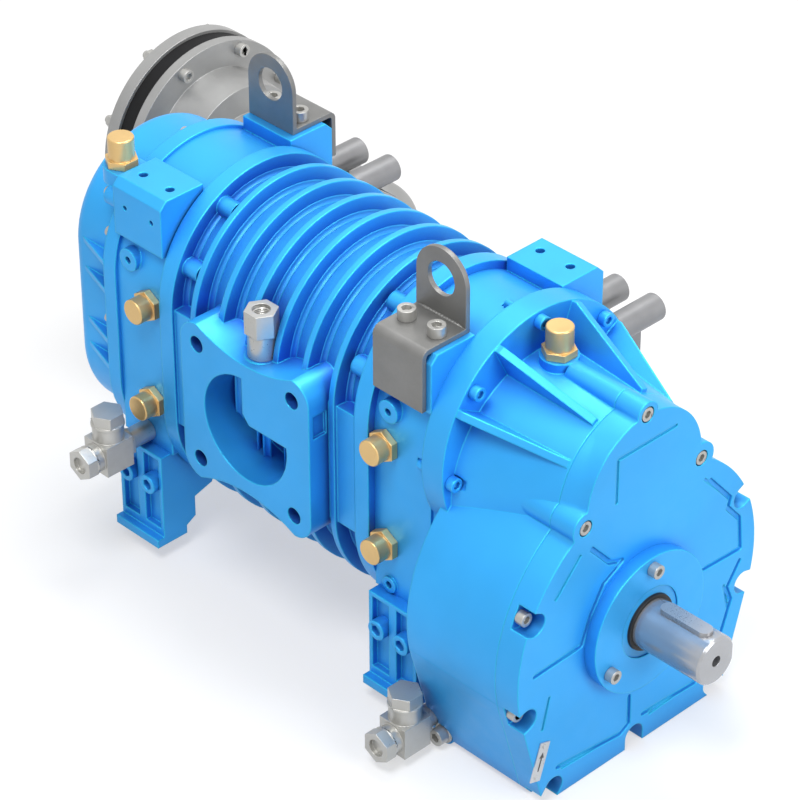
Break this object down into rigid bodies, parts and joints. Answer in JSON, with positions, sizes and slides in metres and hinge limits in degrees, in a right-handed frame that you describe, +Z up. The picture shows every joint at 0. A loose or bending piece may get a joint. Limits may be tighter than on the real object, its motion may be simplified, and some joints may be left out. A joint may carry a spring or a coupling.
{
  "type": "twin-screw vacuum pump",
  "caption": "Dry twin-screw vacuum pump with ribbed housing, side suction flange, gear case with keyed drive shaft, timing cover, feet, lifting eyes and a rear discharge joint.",
  "frame": {"origin": "middle of the four foot holes, on the plane the feet stand on, below the centre of the suction flange", "axes": "+X to the right seen from the drive end, away from the suction flange; +Y along the rotors from the drive end to the timing cover; +Z up"},
  "size_m": [0.4665, 0.871, 0.448],
  "materials": {
    "blue_paint": "satin",
    "sheet_steel": "satin",
    "grey_steel": "satin",
    "brass": "satin",
    "fitting_steel": "satin",
    "screw_steel": "satin",
    "pipe_steel": "satin",
    "plate_aluminium": "satin",
    "black_rubber": "matte",
    "rotor_steel": "satin",
    "gear_steel": "satin",
    "shaft_steel": "polished",
    "bearing_steel": "polished",
    "seal_carbon": "matte",
    "inner_iron": "matte"
  },
  "bodies": {
    "pump": {"rotor_housing": "blue_paint", "front_bearing_housing": "blue_paint", "rear_bearing_housing": "blue_paint", "gear_case": "blue_paint", "gear_case_cover": "blue_paint", "timing_cover": "blue_paint", "shaft_seal_cover": "blue_paint", "shaft_seal": "black_rubber", "front_left_foot": "blue_paint", "front_right_foot": "blue_paint", "rear_left_foot": "blue_paint", "rear_right_foot": "blue_paint", "front_lifting_bracket": "sheet_steel", "rear_lifting_bracket": "sheet_steel", "front_side_bracket": "grey_steel", "rear_side_bracket": "grey_steel", "side_plugs": "brass", "front_breather": "brass", "rear_breather": "brass", "suction_connector": "fitting_steel", "front_tee": "fitting_steel", "front_tee_plug": "fitting_steel", "front_tee_nut": "fitting_steel", "rear_tee": "fitting_steel", "rear_tee_plug": "fitting_steel", "rear_tee_nut": "fitting_steel", "arrow_plate": "plate_aluminium", "gear_cover_screws": "screw_steel", "ring_flange_screws": "blue_paint", "seal_cover_screws": "screw_steel", "timing_cover_screws": "screw_steel", "foot_screws": "blue_paint", "bracket_screws": "screw_steel", "side_lug_screw": "fitting_steel", "discharge_elbow": "pipe_steel", "elbow_screws": "screw_steel", "counter_flange": "pipe_steel", "rubber_ring": "black_rubber", "flange_screws": "screw_steel", "male_front_bearing": "bearing_steel", "male_rear_bearing": "bearing_steel", "female_front_bearing": "bearing_steel", "female_rear_bearing": "bearing_steel", "drive_front_bearing": "bearing_steel", "drive_rear_bearing": "bearing_steel", "rotor_seals": "seal_carbon", "bearing_carrier": "inner_iron", "bearing_retainer": "inner_iron"},
    "drive": {"drive_shaft": "shaft_steel", "drive_key": "shaft_steel", "bull_gear": "gear_steel"},
    "male": {"male_rotor": "rotor_steel", "male_timing_gear": "gear_steel", "drive_pinion": "gear_steel"},
    "female": {"female_rotor": "rotor_steel", "female_timing_gear": "gear_steel"}
  },
  "joints": [
    {"name": "drive_spin", "type": "hinge", "parent": "pump", "child": "drive", "pos_m": [0, 0, 0.124], "axis": [0, 1, 0], "continuous": true},
    {"name": "male_spin", "type": "hinge", "parent": "pump", "child": "male", "pos_m": [0, 0, 0.26], "axis": [0, 1, 0], "continuous": true},
    {"name": "female_spin", "type": "hinge", "parent": "pump", "child": "female", "pos_m": [0, 0, 0.15], "axis": [0, 1, 0], "continuous": true}
  ],
  "couplings": [
    {"joint": "male_spin", "follows": "drive_spin", "ratio": -3.25},
    {"joint": "female_spin", "follows": "drive_spin", "ratio": 2.1667}
  ]
}
